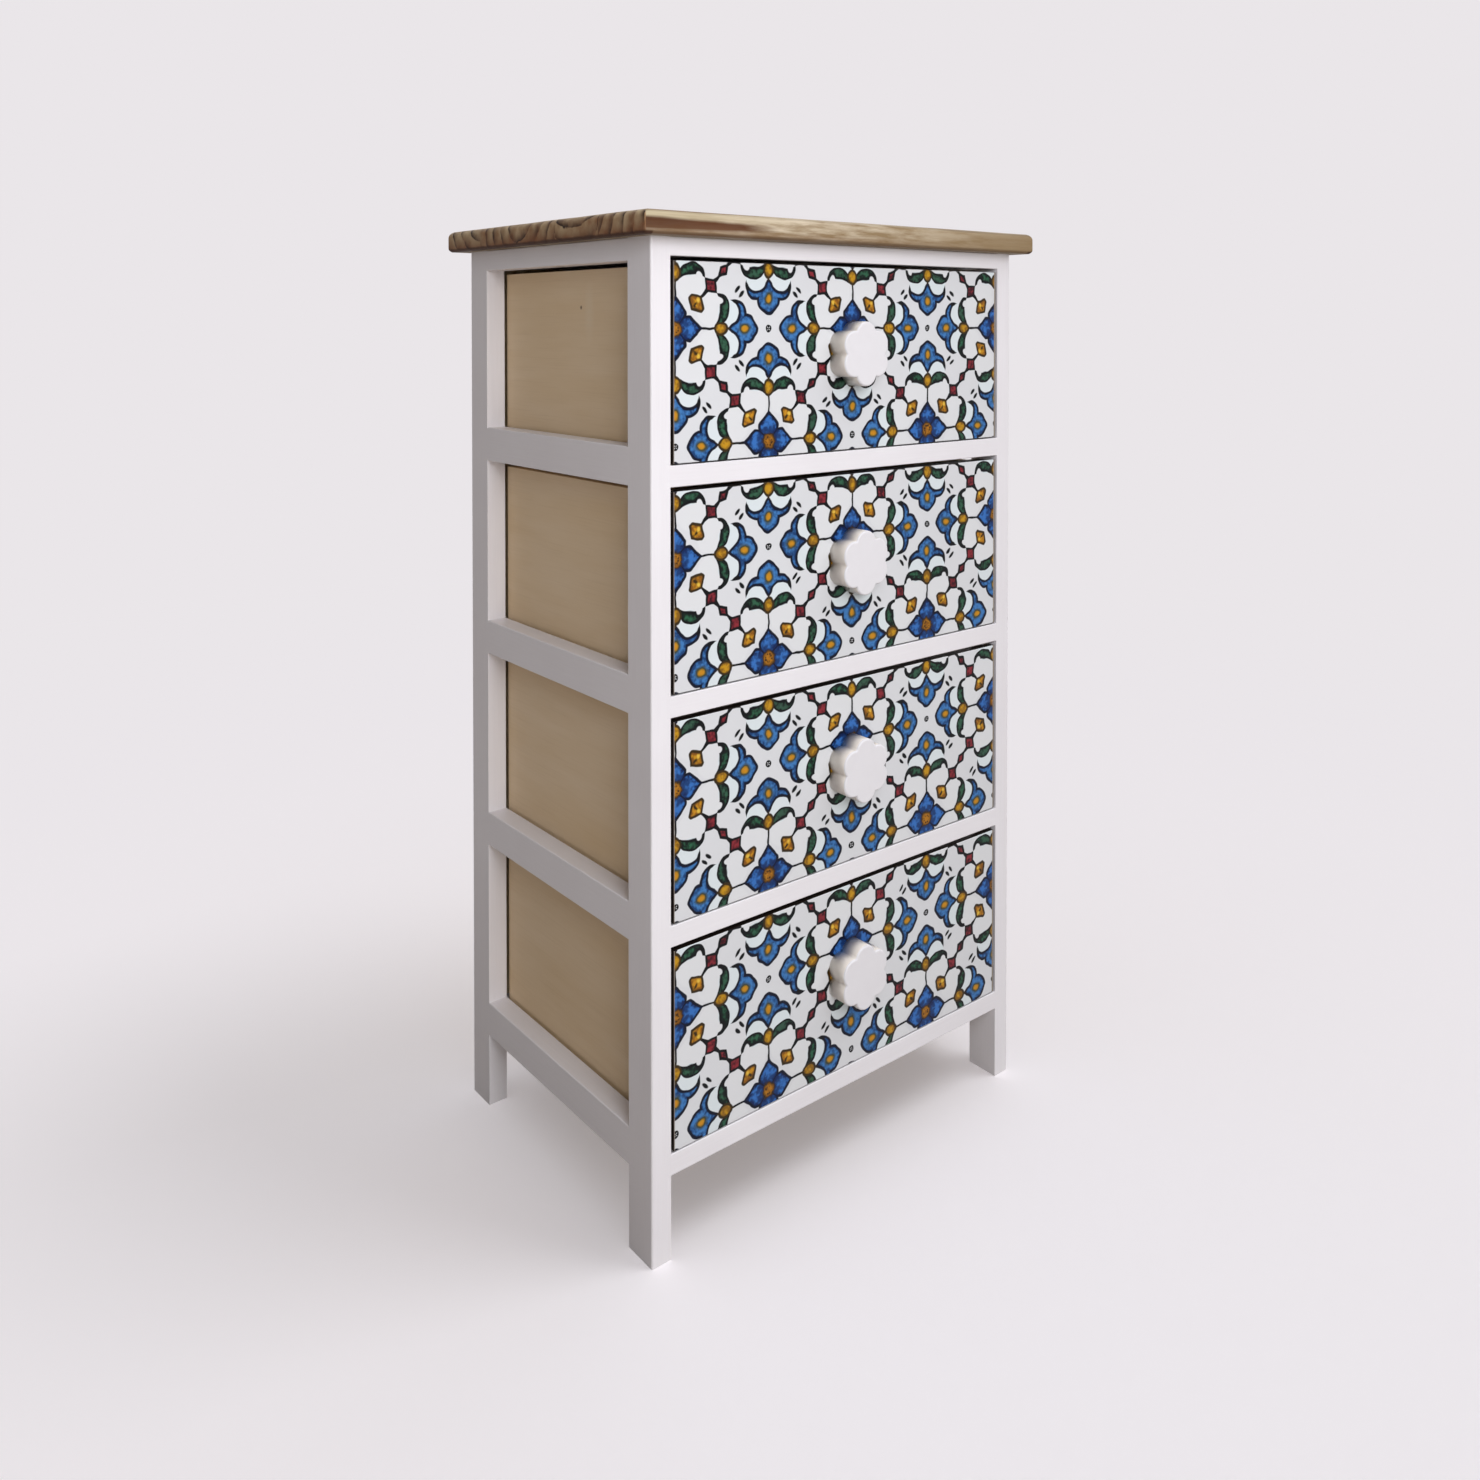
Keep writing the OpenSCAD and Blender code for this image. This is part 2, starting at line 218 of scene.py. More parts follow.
def addFloor():
    bm = bmesh.new()
    bmesh.ops.create_grid(bm, x_segments=1, y_segments=1, size=studio["floorHalf"])
    mesh = bpy.data.meshes.new("floor")
    bm.to_mesh(mesh)
    bm.free()
    floor = bpy.data.objects.new("floor", mesh)
    scene.collection.objects.link(floor)

    # the eye sees the background's colour with the chest's shadow on it, which fades out with distance
    material, tree, shader, place = newFinish("paleFloor")
    tree.nodes.remove(shader)
    ray = addNode(tree, "ShaderNodeLightPath").node
    seen = addNode(tree, "ShaderNodeMath", (ray.outputs["Is Camera Ray"], ray.outputs["Is Glossy Ray"]),
                   operation="MAXIMUM")
    away = addNode(tree, "ShaderNodeVectorMath", {0: place}, "Value", operation="LENGTH")
    fade = addNode(tree, "ShaderNodeMapRange",
                   {0: away, 1: studio["fadeFrom"], 2: studio["fadeTo"], 3: studio["shadowShare"], 4: 0.0},
                   interpolation_type="SMOOTHSTEP")
    lit = tuple(c * studio["seenFloor"] for c in hexToLinear(studio["background"])[:3]) + (1.0,)
    shaded = addNode(tree, "ShaderNodeBsdfDiffuse", {0: lit})
    even = addNode(tree, "ShaderNodeEmission", {0: studio["background"]})
    shown = addNode(tree, "ShaderNodeMixShader", (fade, even, shaded))
    bounce = addNode(tree, "ShaderNodeBsdfDiffuse", {0: studio["floorBounce"]})
    mixed = addNode(tree, "ShaderNodeMixShader", (seen, bounce, shown))
    tree.links.new(mixed, next(n for n in tree.nodes if n.type == "OUTPUT_MATERIAL").inputs[0])
    floor.data.materials.append(material)
    return floor


def addLamp(name, data, light, towards, receivers):
    data.energy, data.color = light["power"], light["colour"]
    lamp = bpy.data.objects.new(name + "Light", data)
    scene.collection.objects.link(lamp)
    lamp.rotation_mode = "QUATERNION"
    lamp.rotation_quaternion = towards.to_track_quat("Z", "Y")
    lamp.light_linking.receiver_collection = receivers
    return lamp


def addLamps(floor):
    leftOut, onlyFloor = (bpy.data.collections.new(name) for name in ("floorLeftOut", "onlyFloor"))
    for receivers, state in ((leftOut, "EXCLUDE"), (onlyFloor, "INCLUDE")):
        receivers.objects.link(floor)
        receivers.collection_objects[0].light_linking.link_state = state
    for name, light in suns.items():
        data = bpy.data.lights.new(name + "Light", "SUN")
        data.angle = math.radians(light["softness"])
        receivers = onlyFloor if name.startswith("floor") else leftOut
        addLamp(name, data, light, Vector(light["towards"]), receivers)
    for name, light in panels.items():
        data = bpy.data.lights.new(name + "Light", "AREA")
        data.shape, data.size, data.size_y = "RECTANGLE", light["width"], light["height"]
        lamp = addLamp(name, data, light, Vector(light["place"]) - Vector(light["aim"]), leftOut)
        lamp.location = light["place"]


addRoom()
addLamps(addFloor())
print("studio ready")


# satin acrylic paint on wood: an even white with faint brush lines along the grain

paint = dict(white="#efedf0", shadow="#e3dfe2", rough=0.42, brushLine=1.3 * mm, brushDepth=0.05 * mm,
             cloud=70 * mm, lineLength=30)


def whitePaint(name, along):
    material, tree, shader, place = newFinish(name)
    brush = grainNoise(tree, place, paint["brushLine"], 4.0, longAlong(along, paint["lineLength"]))
    cloud = grainNoise(tree, place, paint["cloud"], 2.0)
    share = (cloud * 0.7 + brush * 0.5 - 0.25).share()
    colour = coats(tree, paint["shadow"], (share, paint["white"]))
    rough = brush * 0.12 + (paint["rough"] - 0.06)
    setFinish(tree, shader, colour, rough, brush, paint["brushDepth"])
    return material


# pine, glued from five strips, scorched, brushed and oiled: long streaks on its front, arcs on its ends
# each strip's rings turn about a heart that lies so far behind and above its middle, in mm
# on the front edge, heights are in mm over the underside and lengths in mm from the middle

pine = dict(strips=5, ring=13.0 * mm, reach=100, bend=22 * mm, wave=9 * mm, lean=0.03,
            hearts=((60, 6, 0.2), (4, 40, 0.5), (46, 34, 0.1), (-34, 4, 0.7), (-40, 36, 0.35)),
            early="#cdbea6", middle="#907a5b", late="#6b5035", cream="#bcae90", grey="#6e6450",
            streak="#5a3219", streakDark="#3b1f10", pink="#8b6a52", low="#75593f",
            endEarly="#ccb692", endMiddle="#946d4c", endWarm="#6f4229", endLate="#1f0e07",
            endLow="#794c32", scratchesAndSheen="#a39a8c", under="#3b2317",
            warmFrom=0.25, warmFull=0.93, warmEnd=0.95, lateness=2.2,
            gloss=0.12, fibre=0.7 * mm, groove=0.25 * mm,
            ragged=3.2, creamFrom=9.5, pinkTo=3.6, streakAt=7.3, streakHalf=4.2, streakEnd=82.0,
            fadeIn=-60.0, fadeFull=-190.0, lowTo=7.0, greyFrom=14.5, rightFrom=10.0, frontDepth=3.0,
            endHalfway=13.0, darkerRimTo=2.8, darkerRimDepth=7.0)


def oiledPine(name):
    material, tree, shader, place = newFinish(name)
    low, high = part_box("top_board")
    apart = addNode(tree, "ShaderNodeSeparateXYZ", {0: place}).node
    x, y, z = (Amount(tree, apart.outputs[k]) for k in range(3))

    # rings about each strip's own heart; the ramp is a table of the hearts, with 0.5 for no distance
    depth, span = high.y - low.y, 2 * pine["reach"]
    stripShare = (y - low.y) * (1 / depth)
    ramp = addNode(tree, "ShaderNodeValToRGB", {0: stripShare}).node
    ramp.color_ramp.interpolation = "CONSTANT"
    for k, (behind, above, turn) in enumerate(pine["hearts"]):
        stop = ramp.color_ramp.elements[k] if k < 2 else ramp.color_ramp.elements.new(k / pine["strips"])
        stop.position = k / pine["strips"]
        stop.color = (behind / span + 0.5, above / span + 0.5, turn, 1.0)
    heart = addNode(tree, "ShaderNodeSeparateXYZ", {0: ramp.outputs[0]}).node
    behind, above, turn = (Amount(tree, heart.outputs[k]) for k in range(3))
    acrossStrip = ((stripShare * pine["strips"]).math("FRACT") - 0.5) * (depth / pine["strips"])
    bend = grainNoise(tree, place, 70 * mm, 2.0, (4, 1, 1)) - 0.5
    wave = grainNoise(tree, place, 11 * mm, 2.0, (8, 1, 1)) - 0.5
    fromHeartY = acrossStrip - (behind - 0.5) * (span * mm) + bend * pine["bend"]
    fromHeartZ = z - (low.z + high.z) / 2 - (above - 0.5) * (span * mm)
    fromHeartZ = fromHeartZ + wave * pine["wave"] + x * pine["lean"]
    radius = (fromHeartY * fromHeartY + fromHeartZ * fromHeartZ).math("SQRT")
    ring = (radius * (1 / pine["ring"]) + turn).math("FRACT")
    warmer = addNode(tree, "ShaderNodeMapRange",
                     {0: ring, 1: pine["warmFrom"], 2: pine["warmFull"], 3: 0.0, 4: 1.0})
    ending = addNode(tree, "ShaderNodeMapRange", {0: ring, 1: pine["warmEnd"], 2: 1.0, 3: 1.0, 4: 0.0})
    warm = Amount(tree, warmer) * Amount(tree, ending)
    late = warm.math("POWER", pine["lateness"])

    # faces: early and late wood under a soft mottle
    fibre = grainNoise(tree, place, pine["fibre"], 3.0, (60, 1, 1))
    cloud = grainNoise(tree, place, 30 * mm, 3.0, (5, 1, 1))
    face = coats(tree, pine["early"],
                 (cloud.contrast(2.2, 0.45), pine["middle"]),
                 (late * 0.7, pine["late"]))

    # front edge: a scorched streak fades out to the right, between a cream band and a pink one
    height = (z - low.z) * toMm
    along = x * toMm
    ragged = (grainNoise(tree, place, 5 * mm, 3.0, (7, 1, 1)) - 0.5) * pine["ragged"]
    toLeft = Amount(tree, addNode(tree, "ShaderNodeMapRange",
                                  {0: along, 1: pine["fadeIn"], 2: pine["fadeFull"], 3: 0.0, 4: 1.0}))
    toRight = (along + pine["rightFrom"]).share(0.006)
    mottle = grainNoise(tree, place, 4.5 * mm, 4.0, (8, 1, 1), 0.6)
    blotch = (mottle - 0.5) * 3.6 + (cloud - 0.5) * 1.5 + 0.45
    creamBand = (height + ragged - pine["creamFrom"]).share(0.35) * toLeft
    pinkBand = (-(height + ragged) + pine["pinkTo"]).share(0.4) * toLeft
    half = toLeft.math("POWER", 0.6) * pine["streakHalf"]
    streak = (abs(height - pine["streakAt"] + ragged * 0.4) - half).mask(1.0)
    streak = streak * (-along - pine["streakEnd"] + ragged * 6.0).share(0.03)
    burnt = coats(tree, pine["streak"], (cloud.contrast(3.0), pine["streakDark"]))
    edge = coats(tree, pine["early"],
                 (blotch.share(), pine["middle"]),
                 (creamBand, pine["cream"]),
                 (pinkBand * 0.6, pine["pink"]),
                 (streak * 0.95, burnt),
                 ((-height + pine["lowTo"] + ragged).share(0.14) * 0.85, pine["low"]),
                 (toRight * 0.88, pine["middle"]),
                 ((height - pine["greyFrom"]).share(0.5) * (toRight * 0.35 + 0.55), pine["grey"]))
    onFront = (-(y - low.y) * toMm + pine["frontDepth"]).share(0.6)

    # ends: dark arcs of late wood, paler and greyer above from whitish scratches and a painted highlight,
    # browner below
    endTone = grainNoise(tree, place, 13 * mm, 3.0).contrast(3.4, 0.45)
    bold = grainNoise(tree, place, 14 * mm, 2.0).contrast(4.0, 0.6)
    end = coats(tree, pine["endEarly"],
                (endTone, pine["endMiddle"]),
                ((-height + pine["endHalfway"]).share(0.07), pine["endLow"]),
                # whitish scratches together with a painted highlight on the upper rounding
                ((height - pine["endHalfway"]).share(0.15) * endTone, pine["scratchesAndSheen"]),
                (warm * 0.45, pine["endWarm"]),
                (late * bold, pine["endLate"]))
    facing = addNode(tree, "ShaderNodeSeparateXYZ", {0: addNode(tree, "ShaderNodeTexCoord", out="Normal")})
    onEnd = (abs(Amount(tree, facing)) - 0.5).share(5.0)

    # the lower rim is darker, most of all at the ends
    atEnd = (abs(x) * toMm - high.x * toMm + pine["darkerRimDepth"]).share()
    darkerRim = (-(height + ragged * 0.4) + pine["darkerRimTo"]).share(0.8) * (atEnd * 0.5 + 0.4)
    colour = coats(tree, face, (onFront, edge), (fibre.above(0.5, 0.8), pine["late"]), (onEnd, end),
                   (darkerRim, pine["under"]))
    shader.inputs["Specular IOR Level"].default_value = pine["gloss"]
    setFinish(tree, shader, colour, fibre * 0.2 + 0.5, late * 0.7 + fibre * 0.4, pine["groove"])
    return material


# planed poplar without a coat: pale beige, faint straight grain
# marks are (kind, y, z) in mm, and each kind has its colour, half its length and height, and its strength

poplar = dict(pale="#e6cfae", warm="#d8bb8f", line="#b99c77", grainLine=1.3 * mm, lineLength=45,
              lineShare=0.6, broad=26 * mm, broadLength=6, rough=0.5, depth=0.03 * mm,
              knot=("#5f4630", 1.7 * mm, 1.9 * mm, 1.6), rubbed=("#eadfca", 8 * mm, 26 * mm, 0.9),
              topSideMarks=(("knot", -11.3, 655.9), ("rubbed", -22.5, 652.0)))


def planedPoplar(name, along, marks=()):
    material, tree, shader, place = newFinish(name)
    grain = grainNoise(tree, place, poplar["grainLine"], 4.0, longAlong(along, poplar["lineLength"]))
    broad = grainNoise(tree, place, poplar["broad"], 3.0, longAlong(along, poplar["broadLength"]))
    colour = coats(tree, poplar["pale"], ((broad * 1.6 - 0.4).share(), poplar["warm"]),
                   (grain.above(0.52, poplar["lineShare"]), poplar["line"]))
    for kind, y, z in marks:
        tint, deep, tall, strength = poplar[kind]
        near = addNode(tree, "ShaderNodeMapping", {0: place, 1: (0, y * mm, z * mm), 3: (1.0, deep, tall)},
                       vector_type="TEXTURE")
        away = Amount(tree, addNode(tree, "ShaderNodeVectorMath", {0: near}, "Value", operation="LENGTH"))
        mark = (-away + 1.0).share(strength) * (1.0 if kind == "knot" else grain * 0.7)
        colour = coats(tree, colour, (mark, tint))
    setFinish(tree, shader, colour, grain * 0.15 + poplar["rough"], grain, poplar["depth"])
    return material


# three-ply birch, sanded: pale, with wavy flat-cut figure

plywood = dict(pale="#e0cda9", warm="#cdb287", line="#a98a60", figure=7 * mm, sweep=60 * mm, sweepLength=9,
               pore=0.6 * mm, poreLength=40, rough=0.55, depth=0.04 * mm)


def birchPlywood(name, along):
    material, tree, shader, place = newFinish(name)
    figure = grainNoise(tree, place, plywood["sweep"], 1.0, longAlong(along, plywood["sweepLength"]))
    bands = (figure * (plywood["sweep"] / plywood["figure"])).math("FRACT")
    bands = abs(bands - 0.5) * 2.0
    pore = grainNoise(tree, place, plywood["pore"], 2.0, longAlong(along, plywood["poreLength"]))
    colour = coats(tree, plywood["pale"],
                   (bands, plywood["warm"]),
                   (pore.above(0.55, 2.2), plywood["line"]))
    setFinish(tree, shader, colour, plywood["rough"], pore, plywood["depth"])
    return material


# turned beech pegs: pinkish tan with short dark flecks

beech = dict(pale="#d9b98c", fleckColour="#a67c4f", fleck=0.5 * mm, fleckLength=3, rough=0.5,
             depth=0.03 * mm)


def turnedBeech(name):
    material, tree, shader, place = newFinish(name)
    fleck = grainNoise(tree, place, beech["fleck"], 2.0, [beech["fleckLength"]] * 3)
    colour = coats(tree, beech["pale"], (fleck.above(0.5, 2.0), beech["fleckColour"]))
    setFinish(tree, shader, colour, beech["rough"], fleck, beech["depth"])
    return material


# zinc-plated steel: bluish grey with a cloudy bright plating

zinc = dict(bright="#c3c7cb", dull="#8e9398", cloud=1.5 * mm, rough=0.28, depth=0.01 * mm)


def zincSteel(name):
    material, tree, shader, place = newFinish(name)
    cloud = grainNoise(tree, place, zinc["cloud"], 3.0)
    colour = coats(tree, zinc["dull"], (cloud, zinc["bright"]))
    shader.inputs["Metallic"].default_value = 1.0
    setFinish(tree, shader, colour, cloud * 0.2 + zinc["rough"], cloud, zinc["depth"])
    return material


# drawer fronts: white board with a hand-drawn tile ornament under a satin varnish
# one repeat runs from a flower to the dot between two flowers, lengths are in mm along it

ornament = dict(stepX=83.4, stepZ=81.25, middle=0.7, belowTop=46.75, wobble=2.4, ink=1.9, thinInk=1.4,
                outward=0.3, soft=0.22, bareLeft=1.2, bareRight=2.2, burntShadedRim=0.7, faceTo=0.35, lip=6.0,
                rough=0.38, gloss=0.15, depth=0.02 * mm)
# burnt darkens the fronts' cut edges: partly scorch, partly painted shade of the gaps around each drawer
inks = dict(ground="#d4d5d8", lobe="#dadbdd", leafWhite="#d6dee1", ink="#040507", navy="#070d20",
            blueDeep="#1b3b6a", blueLight="#4077b3", flowerDeep="#0f2350", flowerLight="#376db5",
            greenDark="#0b1814", green="#276645", greyGreen="#364d41", umber="#33260f", olive="#3a4030",
            amberDark="#80591a", amber="#bd8d20", glow="#dcb545", orangeDark="#80501a", orange="#c28322",
            redDark="#380f18", red="#862b33", board="#8f857c", burnt="#1c1410")

# shapes lie at (u, v), u from the flower's middle along its row and v across it, and mirrors do the rest
# a circle has its radius, a stroke half its length and width and its turn, and a tip its end and slope

motif = dict(lobe=(31.0, 13.5, 12.4), whitePetal=(46.4, 11.7, 9.4),
             lineMiddle=35.0, lineHalf=14.0, lineThick=0.85,
             leaf=(37.9, 14.6, 9.2, 11.0, 0), leafHollow=(16.5, 15.5, 22.4),
             notch=(36.5, 20.6, 5.2, 3.2, -8), vein=(39.2, 13.6, 4.6, 1.1, 84),
             curl=(39.4, 24.3, 2.8, 1.0, -20),
             wing=(52.1, 10.9, 10.4), wingFrom=5.0, wingMark=(52.6, 20.0, 3.6, 1.5, -22),
             fleur=(61.7, 10.7, 0.93), fleurTip=(74.4, 1.4), foot=(45.8, -0.75), footTo=56.0,
             eye=(61.2, 0.0, 5.4, 4.2, 0), pupil=(61.2, 0.0, 2.2, 1.2, 0),
             diamond=(39.9, 7.4, 4.9), diamondWaist=(39.9, 0.0, 6.2, 4.9, 0),
             petal=(11.7, 9.4, 0.5), petalTip=(23.2, 0.9), flowerMiddle=(0.0, 0.0, 11.5),
             petalShade=(9.5, 4.6, 4.2), middleShade=(0.0, 0.0, 8.5), petalLine=0.35,
             heart=(0.0, 0.0, 6.2), seed=(2.6, 1.0, 0.6),
             bud=(0.0, 10.6, 6.4), budAt=25.6, budHead=(18.1, 18.1, 8.0),
             budMark=(17.0, 17.0, 2.6, 1.0, 45), budGlow=(19.7, 19.7, 1.4),
             knotAt=31.0, knotHalf=4.4, stemFrom=20.0, stemThick=0.95,
             bar=(59.05, 6.9, 4.1), barInk=1.85, dabs=((54.7, 28.8), (58.2, 25.3)), dab=(3.3, 1.35, 45),
             dot=2.7, dotLight=(0.3, 1.2, 0.9))


def tileOrnament(name, nodeName):
    material, tree, shader, place = newFinish(name)
    low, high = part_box(nodeName)

    # every point is folded back into one eighth of a repeat, after a small wobble of the hand
    wobbleAt = grainNoise(tree, place, 9 * mm, 1.0)
    drift = addNode(tree, "ShaderNodeVectorMath",
                    {0: wobbleAt.socket.node.outputs["Color"], 1: (0.5, 0.5, 0.5)}, operation="SUBTRACT")
    drift = addNode(tree, "ShaderNodeVectorMath", {0: drift, "Scale": ornament["wobble"] * mm},
                    operation="SCALE")
    moved = addNode(tree, "ShaderNodeVectorMath", {0: place, 1: drift}, operation="ADD")
    step, stepZ = ornament["stepX"], ornament["stepZ"]
    centre = (-ornament["middle"] / step, 0.0, -(high.z - ornament["belowTop"] * mm) / (stepZ * mm))
    centred = addNode(tree, "ShaderNodeMapping",
                      {0: moved, 1: centre, 3: (1 / (step * mm), 1.0, 1 / (stepZ * mm))})
    apart = addNode(tree, "ShaderNodeSeparateXYZ", {0: centred}).node
    across, up = (Amount(tree, apart.outputs[k]).math("PINGPONG", 1.0) for k in (0, 2))
    over = (across + up - 1.0).math("MAXIMUM", 0.0)
    across, up = across - over, up - over
    u = across.math("MAXIMUM", up) * step
    v = across.math("MINIMUM", up) * step
    flat = addNode(tree, "ShaderNodeCombineXYZ", {0: u, 1: v})
    slant = 0.7071  # of each axis, along the diagonal
    diagonal, aside = (u + v) * slant, (u - v) * slant

    def circle(cu, cv, r):
        return Amount(tree, addNode(tree, "ShaderNodeVectorMath", {0: flat, 1: (cu, cv, 0)}, "Value",
                                    operation="DISTANCE")) - r

    def kite(along, side, centre, halfLength, halfWidth):
        size = math.hypot(halfLength, halfWidth)
        return abs(along - centre) * (halfWidth / size) + abs(side) * (halfLength / size) \
            - halfLength * halfWidth / size

    def tip(end, slope):  # the two straight lines that close a petal at its point
        size = math.hypot(1.0, slope)
        return v * (1 / size) + (u - end) * (slope / size)

    def drop(cu, r, longer):  # a circle that is drawn out away from the flower
        away = (u - cu).math("MINIMUM", (u - cu) * longer)
        return (away * away + v * v).math("SQRT") - r

    def stroke(cu, cv, halfLength, halfWidth, turn):
        local = addNode(tree, "ShaderNodeMapping",
                        {0: flat, 1: (cu, cv, 0), 2: (0, 0, math.radians(turn)),
                         3: (halfLength, halfWidth, 1)}, vector_type="TEXTURE")
        away = addNode(tree, "ShaderNodeVectorMath", {0: local}, "Value", operation="LENGTH")
        return (Amount(tree, away) - 1.0) * halfWidth

    brush = grainNoise(tree, place, 2.8 * mm, 1.6)
    edge = (grainNoise(tree, place, 3.5 * mm, 2.0) - 0.5) * 0.27
    load = (grainNoise(tree, place, 24 * mm, 1.0) - 0.5) * 1.4  # how full the brush was
    tone = ((brush - 0.5) * 3.4 + load + 0.5).share()
    soft, ink, thin = ornament["soft"], ornament["ink"], ornament["thinInk"]
    drawn = coats(tree, inks["ground"], (grainNoise(tree, place, 18 * mm, 3.0) * 0.5, inks["lobe"]))

    def frayed(shape, much):  # an edge that the brush left uneven, by so many mm
        return shape + (brush - 0.5) * much

    def fill(shape, colour, rim=soft):
        nonlocal drawn
        drawn = coats(tree, drawn, ((shape + edge).mask(rim), colour))

    def inked(shape, dark, light, line=ink, lineColour=inks["ink"], spread=0.0):
        # a drawn outline, then two tones inside it, darker towards the outline
        fill(shape - ornament["outward"], lineColour)
        inside = (tone + (-shape) * spread - spread * 3.0).share() if spread else tone
        fill(shape + line, coats(tree, dark, (inside, light)), 0.35)

    # pale petals, and the stems along the row and the diagonal
    fill(circle(*motif["lobe"]), inks["lobe"], 0.8)
    whitePetal = circle(*motif["whitePetal"])
    fill(whitePetal, inks["leafWhite"])
    onLine = abs(u - motif["lineMiddle"]) - motif["lineHalf"]
    fill((v - motif["lineThick"]).within(onLine), inks["ink"])
    knot = abs(u - motif["knotAt"]).math("MAXIMUM", abs(v - motif["knotAt"]))
    swell = (-knot * 0.18 + 1.8).math("MINIMUM", 1.0).math("MAXIMUM", 0.0)
    stem = aside.within(-u + motif["stemFrom"]) - swell * swell * 1.1 - motif["stemThick"]
    fill(stem, inks["ink"])

    # green leaves
    notch = stroke(*motif["notch"])
    leaf = stroke(*motif["leaf"]).outside(circle(*motif["leafHollow"])).outside(notch)
    green = coats(tree, inks["green"], (load + 0.5, inks["greyGreen"]))
    inked(leaf, inks["greenDark"], green, 1.3, spread=0.25)
    fill(stroke(*motif["vein"]).outside(notch), inks["ink"], 0.4)
    fill(stroke(*motif["curl"]).outside(notch), inks["ink"])

    # blue fleurs with an amber eye
    wing = circle(*motif["wing"]).within(-v + motif["wingFrom"])
    body = drop(*motif["fleur"]).within(tip(*motif["fleurTip"]), 1.6)
    foot = tip(*motif["foot"]).within(u - motif["footTo"])
    fleur = wing.also(body).also(foot).outside(whitePetal)
    inked(fleur, inks["blueDeep"], inks["blueLight"], lineColour=inks["navy"], spread=0.2)
    fill(stroke(*motif["wingMark"]).within(wing), inks["ink"])
    eye = frayed(stroke(*motif["eye"]), 1.5)
    fill(eye, inks["olive"], 1.0)
    fill(eye + 1.9, coats(tree, inks["amberDark"], (tone * 0.6 + 0.4, inks["amber"])), 0.6)
    fill(frayed(stroke(*motif["pupil"]), 1.2), inks["orange"], 0.8)

    # amber diamonds
    diamond = kite(u, v, *motif["diamond"]).also(stroke(*motif["diamondWaist"]))
    inked(diamond, inks["amberDark"], inks["amber"], thin, inks["umber"], spread=0.3)

    # the flower: blue petals that are deeper towards an orange heart
    petal = drop(*motif["petal"]).within(tip(*motif["petalTip"]), 1.0)
    inked(petal, inks["flowerDeep"], inks["flowerLight"], lineColour=inks["navy"], spread=0.22)
    flowerMiddle = circle(*motif["flowerMiddle"])
    deep = flowerMiddle.within(circle(*motif["petalShade"]).also(circle(*motif["middleShade"])))
    deep = frayed(deep, 4.0).mask(1.0) * (petal + 1.0).mask(soft) * 0.8
    drawn = coats(tree, drawn, (deep, inks["flowerDeep"]))
    fill((aside - motif["petalLine"]).within(flowerMiddle), inks["navy"])
    heart = frayed(circle(*motif["heart"]), 4.0)
    fill(heart, inks["umber"], 0.8)
    fill(heart + 1.6, coats(tree, inks["orangeDark"], (tone * 0.6, inks["orange"])), 0.8)
    fill(frayed(circle(*motif["seed"]), 3.0), inks["umber"], 0.5)

    # orange buds on the diagonal, with a red knot beyond
    bud = kite(aside, diagonal - motif["budAt"], *motif["bud"]).within(circle(*motif["budHead"]), 1.0)
    budLight = coats(tree, inks["amber"], (load * 0.8 + 0.5, inks["orange"]))
    inked(bud, inks["orangeDark"], budLight, 1.6, inks["umber"], spread=0.3)
    fill(frayed(stroke(*motif["budMark"]), 2.0), inks["umber"], 0.5)
    fill(frayed(circle(*motif["budGlow"]), 2.4), inks["glow"], 0.6)
    inked(knot - abs(aside) * 0.1 - motif["knotHalf"], inks["redDark"], inks["red"], thin)

    # the dot between flowers, its red bars and two short dabs on each side
    inked(kite(diagonal, aside, *motif["bar"]), inks["redDark"], inks["red"], motif["barInk"])
    for cu, cv in motif["dabs"]:
        fill(stroke(cu, cv, *motif["dab"]), inks["ink"])
    fill(circle(step, 0.0, motif["dot"]), inks["ink"])
    beforeDot, besideDot, lightRadius = motif["dotLight"]
    fill(circle(step - beforeDot, besideDot, lightRadius), inks["ground"])

    # the print stops short of the ends; the cut edges are dark, partly scorched and partly painted shade
    # of the gaps around the drawer
    at = addNode(tree, "ShaderNodeSeparateXYZ", {0: place}).node
    x, y = Amount(tree, at.outputs[0]), Amount(tree, at.outputs[1])
    fromLeft, fromRight = (x - low.x) * toMm, (-x + high.x) * toMm
    fromEnd = fromLeft.math("MINIMUM", fromRight)
    bare = (fromLeft - ornament["bareLeft"]).math("MINIMUM", fromRight - ornament["bareRight"])
    drawn = coats(tree, drawn, (bare.mask(0.3), inks["board"]),
                  ((fromEnd - ornament["burntShadedRim"]).mask(0.2), inks["burnt"]))
    onFace = (y - low.y - ornament["faceTo"] * mm).mask(0.15 * mm)
    # the sides of the lip are dark too, partly scorch and partly painted shade of the gaps
    onBurntShadedEdge = (y - low.y - ornament["lip"] * mm).mask(0.2 * mm)
    colour = coats(tree, inks["board"], (onBurntShadedEdge, inks["burnt"]), (onFace, drawn))
    shader.inputs["Specular IOR Level"].default_value = ornament["gloss"]
    setFinish(tree, shader, colour, ornament["rough"], brush, ornament["depth"])
    return material


# knobs: wood sealed with the frame's white paint, a little smoother, with painted light on their sides

# rim is a brighter, warmer white: painted light on the knob's sides that lifts their shade
knobPaint = dict(white="#e3e1e4", shadow="#dad7da", rim="#fbf3e8", cloud=9 * mm, rough=0.37, gloss=0.25,
                 depth=0.05 * mm)


